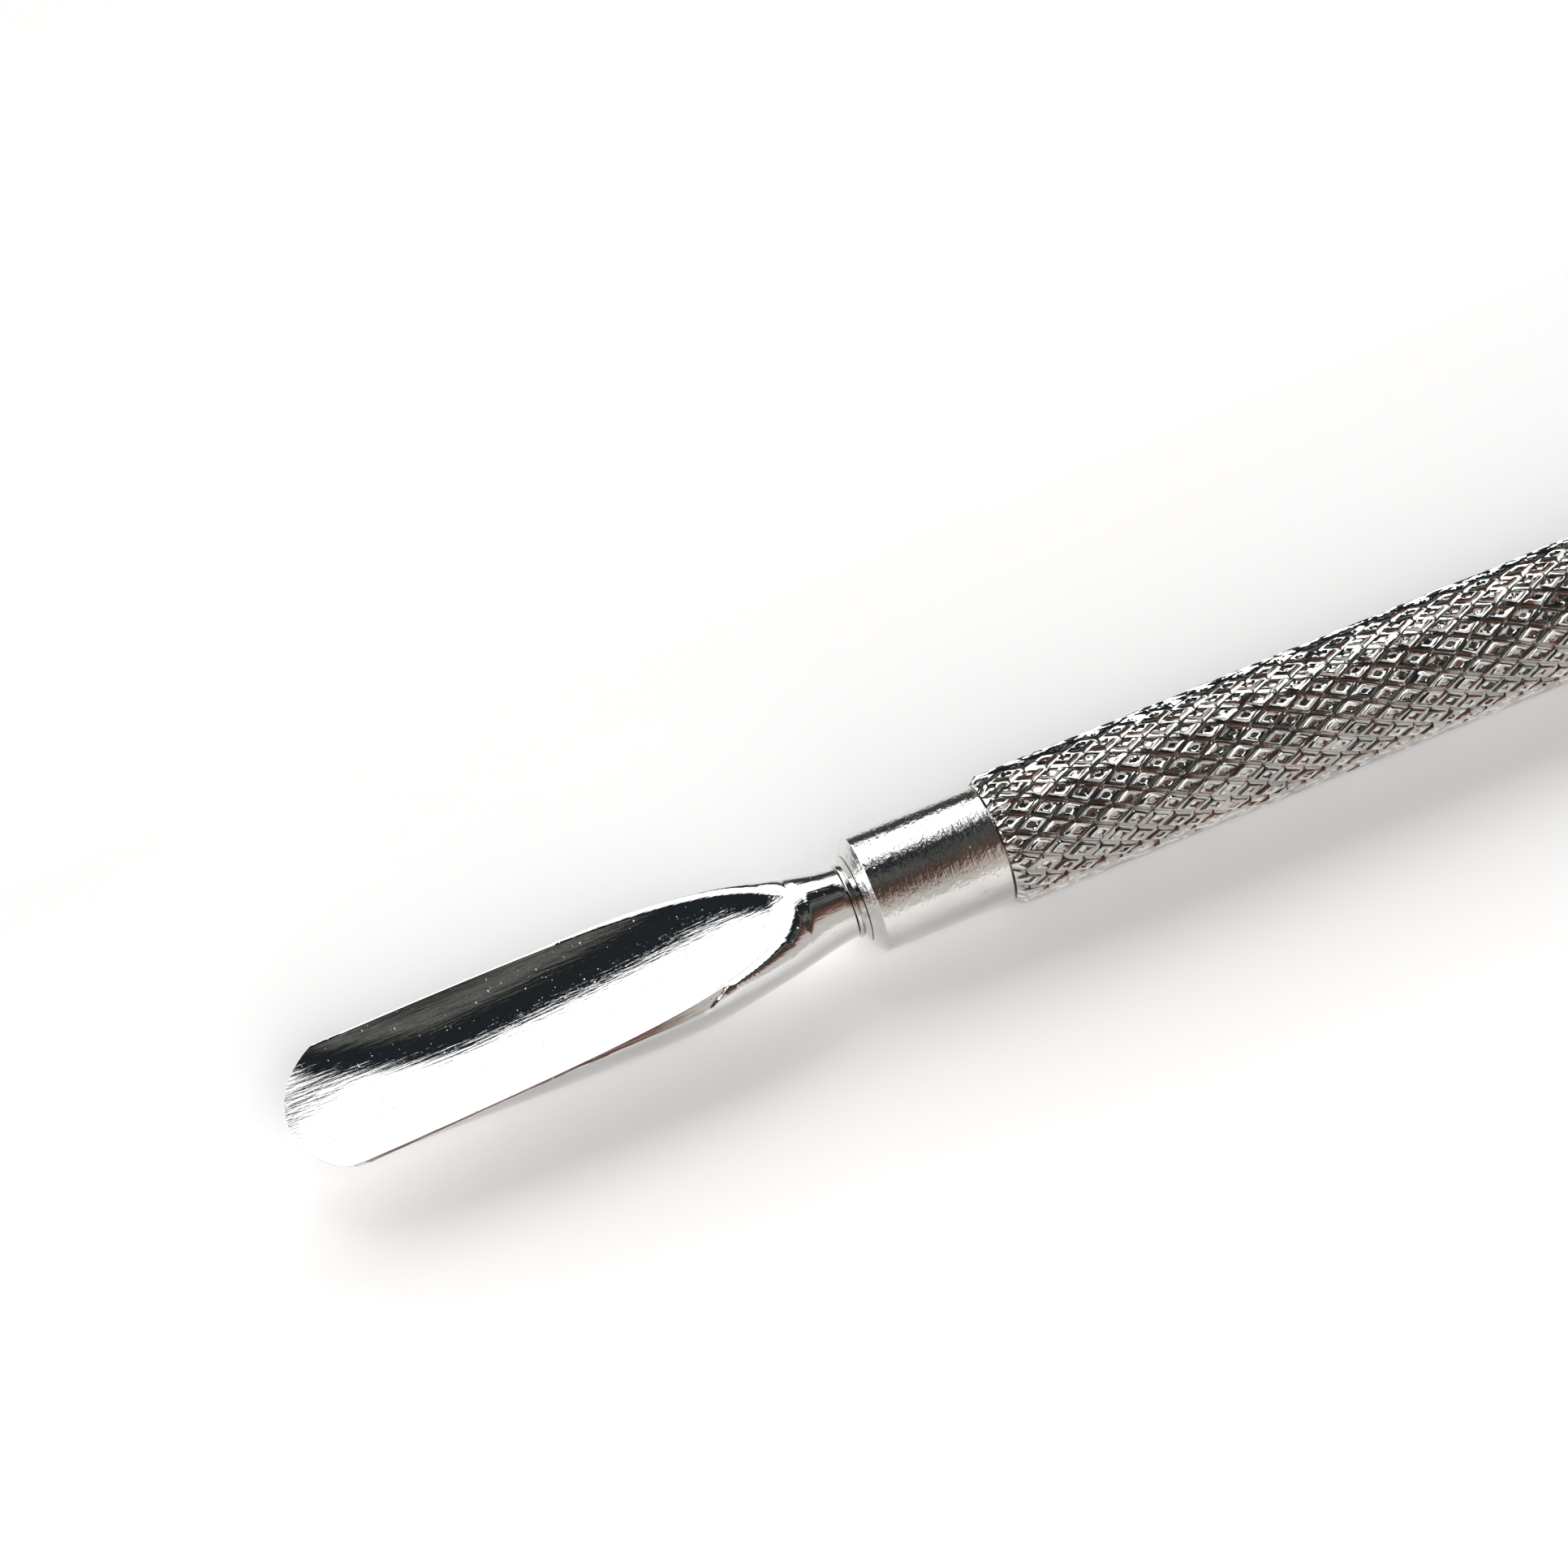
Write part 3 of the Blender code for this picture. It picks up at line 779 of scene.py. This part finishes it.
# %% The floor
def floor():
    bm = bmesh.new()
    bmesh.ops.create_grid(bm, x_segments=2, y_segments=2, size=1.6)
    mesh = bpy.data.meshes.new("floor")
    bm.to_mesh(mesh)
    bm.free()
    made = bpy.data.objects.new("floor", mesh)
    bpy.context.scene.collection.objects.link(made)
    material = bpy.data.materials.new("white_table")
    material.use_nodes = True
    tree = material.node_tree
    shader = tree.nodes["Principled BSDF"]
    place = flat_coordinates(tree)
    cloud = marks(tree, place, (60.0, 60.0, 60.0), 2.0, 1.0)
    mix = node(tree, "ShaderNodeMix", data_type="RGBA")
    mix.inputs["A"].default_value = (0.80, 0.80, 0.80, 1.0)
    mix.inputs["B"].default_value = (0.84, 0.84, 0.835, 1.0)
    tree.links.new(cloud, mix.inputs["Factor"])
    tree.links.new(mix.outputs["Result"], shader.inputs["Base Color"])
    shader.inputs["Roughness"].default_value = 0.55
    mesh.materials.append(material)


floor()

# %% The studio's light, by direction across the tool
BANDS = [
    # degrees over the near horizon, colour, strength
    (0.0, (0.78, 0.74, 0.70), 0.85),
    (15.0, (0.74, 0.68, 0.62), 0.75),
    (18.0, (0.26, 0.13, 0.10), 0.75),
    (38.0, (0.22, 0.11, 0.09), 0.50),
    (42.0, (0.06, 0.065, 0.065), 0.30),
    (54.0, (0.14, 0.15, 0.14), 0.60),
    (62.0, (0.30, 0.31, 0.28), 0.70),
    (68.0, (0.06, 0.06, 0.06), 0.30),
    (88.0, (0.05, 0.07, 0.09), 0.35),
    (100.0, (0.03, 0.03, 0.03), 0.20),
    (104.0, (1.0, 1.0, 1.0), 2.7),
    (172.0, (1.0, 1.0, 1.0), 2.7),
    (175.0, (0.62, 0.61, 0.60), 0.90),
    (180.0, (0.70, 0.70, 0.70), 0.90),
]
LIGHT_MIDDLE = 0.156
LIGHT_CLIMB_AHEAD = math.radians(29.0)
LIGHT_CLIMB_BEHIND = math.radians(15.0)
LIGHT_CLIMB_REACH = 0.20


def studio():
    world = bpy.data.worlds.new("studio")
    bpy.context.scene.world = world
    world.use_nodes = True
    tree = world.node_tree
    link = tree.links.new
    back = tree.nodes["Background"]
    place = node(tree, "ShaderNodeTexCoord")
    split = node(tree, "ShaderNodeSeparateXYZ")
    link(place.outputs["Generated"], split.inputs[0])
    near = node(tree, "ShaderNodeMath", operation="MULTIPLY")
    near.inputs[1].default_value = -1.0
    link(split.outputs["Y"], near.inputs[0])
    rise = node(tree, "ShaderNodeMath", operation="ARCTAN2")
    link(split.outputs["Z"], rise.inputs[0])
    link(near.outputs[0], rise.inputs[1])
    along = split.outputs["X"]
    front = LIGHT_MIDDLE + LIGHT_CLIMB_REACH
    rear = LIGHT_MIDDLE - LIGHT_CLIMB_REACH
    ahead = remap(tree, along, LIGHT_MIDDLE, front, 0.0, LIGHT_CLIMB_AHEAD)
    behind = remap(tree, along, LIGHT_MIDDLE, rear, 0.0, LIGHT_CLIMB_BEHIND)
    lowered = rise
    for climb in (ahead, behind):
        less = node(tree, "ShaderNodeMath", operation="SUBTRACT")
        link(lowered.outputs[0], less.inputs[0])
        link(climb, less.inputs[1])
        lowered = less
    part = remap(tree, lowered.outputs[0], 0.0, math.pi, 0.0, 1.0)
    ramp = node(tree, "ShaderNodeValToRGB")
    stops = ramp.color_ramp.elements
    while len(stops) < len(BANDS):
        stops.new(0.5)
    for stop, (degrees, colour, strength) in zip(stops, BANDS):
        stop.position = degrees / 180.0
        stop.color = (*[c * strength for c in colour], 1.0)
    link(part, ramp.inputs[0])
    link(ramp.outputs[0], back.inputs["Color"])
    back.inputs["Strength"].default_value = 1.0


studio()

# %% [markdown]
# A dark card stands behind the tool, beside the collar and the grip, and gives them their second
# dark band. Behind the spoon it is lower, so that the outer edge is dark but the hollow's near wall
# mirrors only white light. A soft lamp on the near side lifts the shadow, and shows in no
# reflection.

# %% The dark card and the fill
CARD_PLACE = 24.0
CARD_FOOT = 0.2
CARD_TOP = 15.5
LOW_CARD_TOP = 10.5
FILL_SIZE = 0.5
FILL_POWER = 3.4
FILL_PLACE = (0.0, -0.45, 0.35)
FILL_TILT = math.radians(52.0)


def dark_card():
    bm = bmesh.new()
    step = SPOON_EDGE / MM - 1.0
    for left, right, top in ((-90.0, step, LOW_CARD_TOP), (step, 120.0, CARD_TOP)):
        corners = ((left, CARD_FOOT), (right, CARD_FOOT), (right, top), (left, top))
        bm.faces.new([bm.verts.new((x * MM, CARD_PLACE * MM, z * MM)) for x, z in corners])
    mesh = bpy.data.meshes.new("dark_card")
    bm.to_mesh(mesh)
    bm.free()
    card = bpy.data.objects.new("dark_card", mesh)
    bpy.context.scene.collection.objects.link(card)
    material = bpy.data.materials.new("black_card")
    material.use_nodes = True
    tree = material.node_tree
    shader = tree.nodes["Principled BSDF"]
    grain = marks(tree, flat_coordinates(tree), (1.5, 1.5, 1.5), 3.0, 2.0)
    tree.links.new(remap(tree, grain, 0.3, 0.7, 0.015, 0.040), shader.inputs["Base Color"])
    shader.inputs["Roughness"].default_value = 0.9
    mesh.materials.append(material)
    card.visible_camera = False
    card.visible_diffuse = False
    card.visible_shadow = False


def soft_fill():
    data = bpy.data.lights.new("fill", "AREA")
    data.size = FILL_SIZE
    data.energy = FILL_POWER
    lamp = bpy.data.objects.new("fill", data)
    lamp.location = FILL_PLACE
    lamp.rotation_euler = (FILL_TILT, 0.0, 0.0)
    lamp.visible_glossy = False
    bpy.context.scene.collection.objects.link(lamp)


dark_card()
soft_fill()

# %% [markdown]
# The camera looks down on the tool from 53 degrees, a little from the spoon's side, and is rolled
# so that the tool rises to the right. It is a long lens at about a third of a metre, as for a
# close product picture.

# %% The camera
LENS = 147.2
CAMERA_DISTANCE = 323.8
ELEVATION = math.radians(53.0)
SIDEWAYS = math.radians(15.0)
ROLL = math.radians(9.75)
AIM_RIGHT = 4.07
AIM_DOWN = 5.58


def camera():
    look = Vector((
        math.sin(SIDEWAYS) * math.cos(ELEVATION),
        math.cos(SIDEWAYS) * math.cos(ELEVATION),
        -math.sin(ELEVATION),
    ))
    level = Vector((math.cos(SIDEWAYS), -math.sin(SIDEWAYS), 0.0))
    upright = level.cross(look)
    right = math.cos(ROLL) * level - math.sin(ROLL) * upright
    up = math.sin(ROLL) * level + math.cos(ROLL) * upright
    collar = Vector((SPOON_EDGE, 0.0, AXIS_HEIGHT))
    place = collar - (look * CAMERA_DISTANCE + right * AIM_RIGHT - up * AIM_DOWN) * MM
    data = bpy.data.cameras.new("camera")
    data.lens = LENS
    data.sensor_width = 36.0
    data.clip_start = 0.01
    data.clip_end = 10.0
    made = bpy.data.objects.new("camera", data)
    made.matrix_world = Matrix((
        (right.x, up.x, -look.x, place.x),
        (right.y, up.y, -look.y, place.y),
        (right.z, up.z, -look.z, place.z),
        (0.0, 0.0, 0.0, 1.0),
    ))
    bpy.context.scene.collection.objects.link(made)
    bpy.context.scene.camera = made
    print("camera at", [round(c / MM, 1) for c in place], "mm")


camera()
bpy.context.scene.view_settings.view_transform = "Standard"
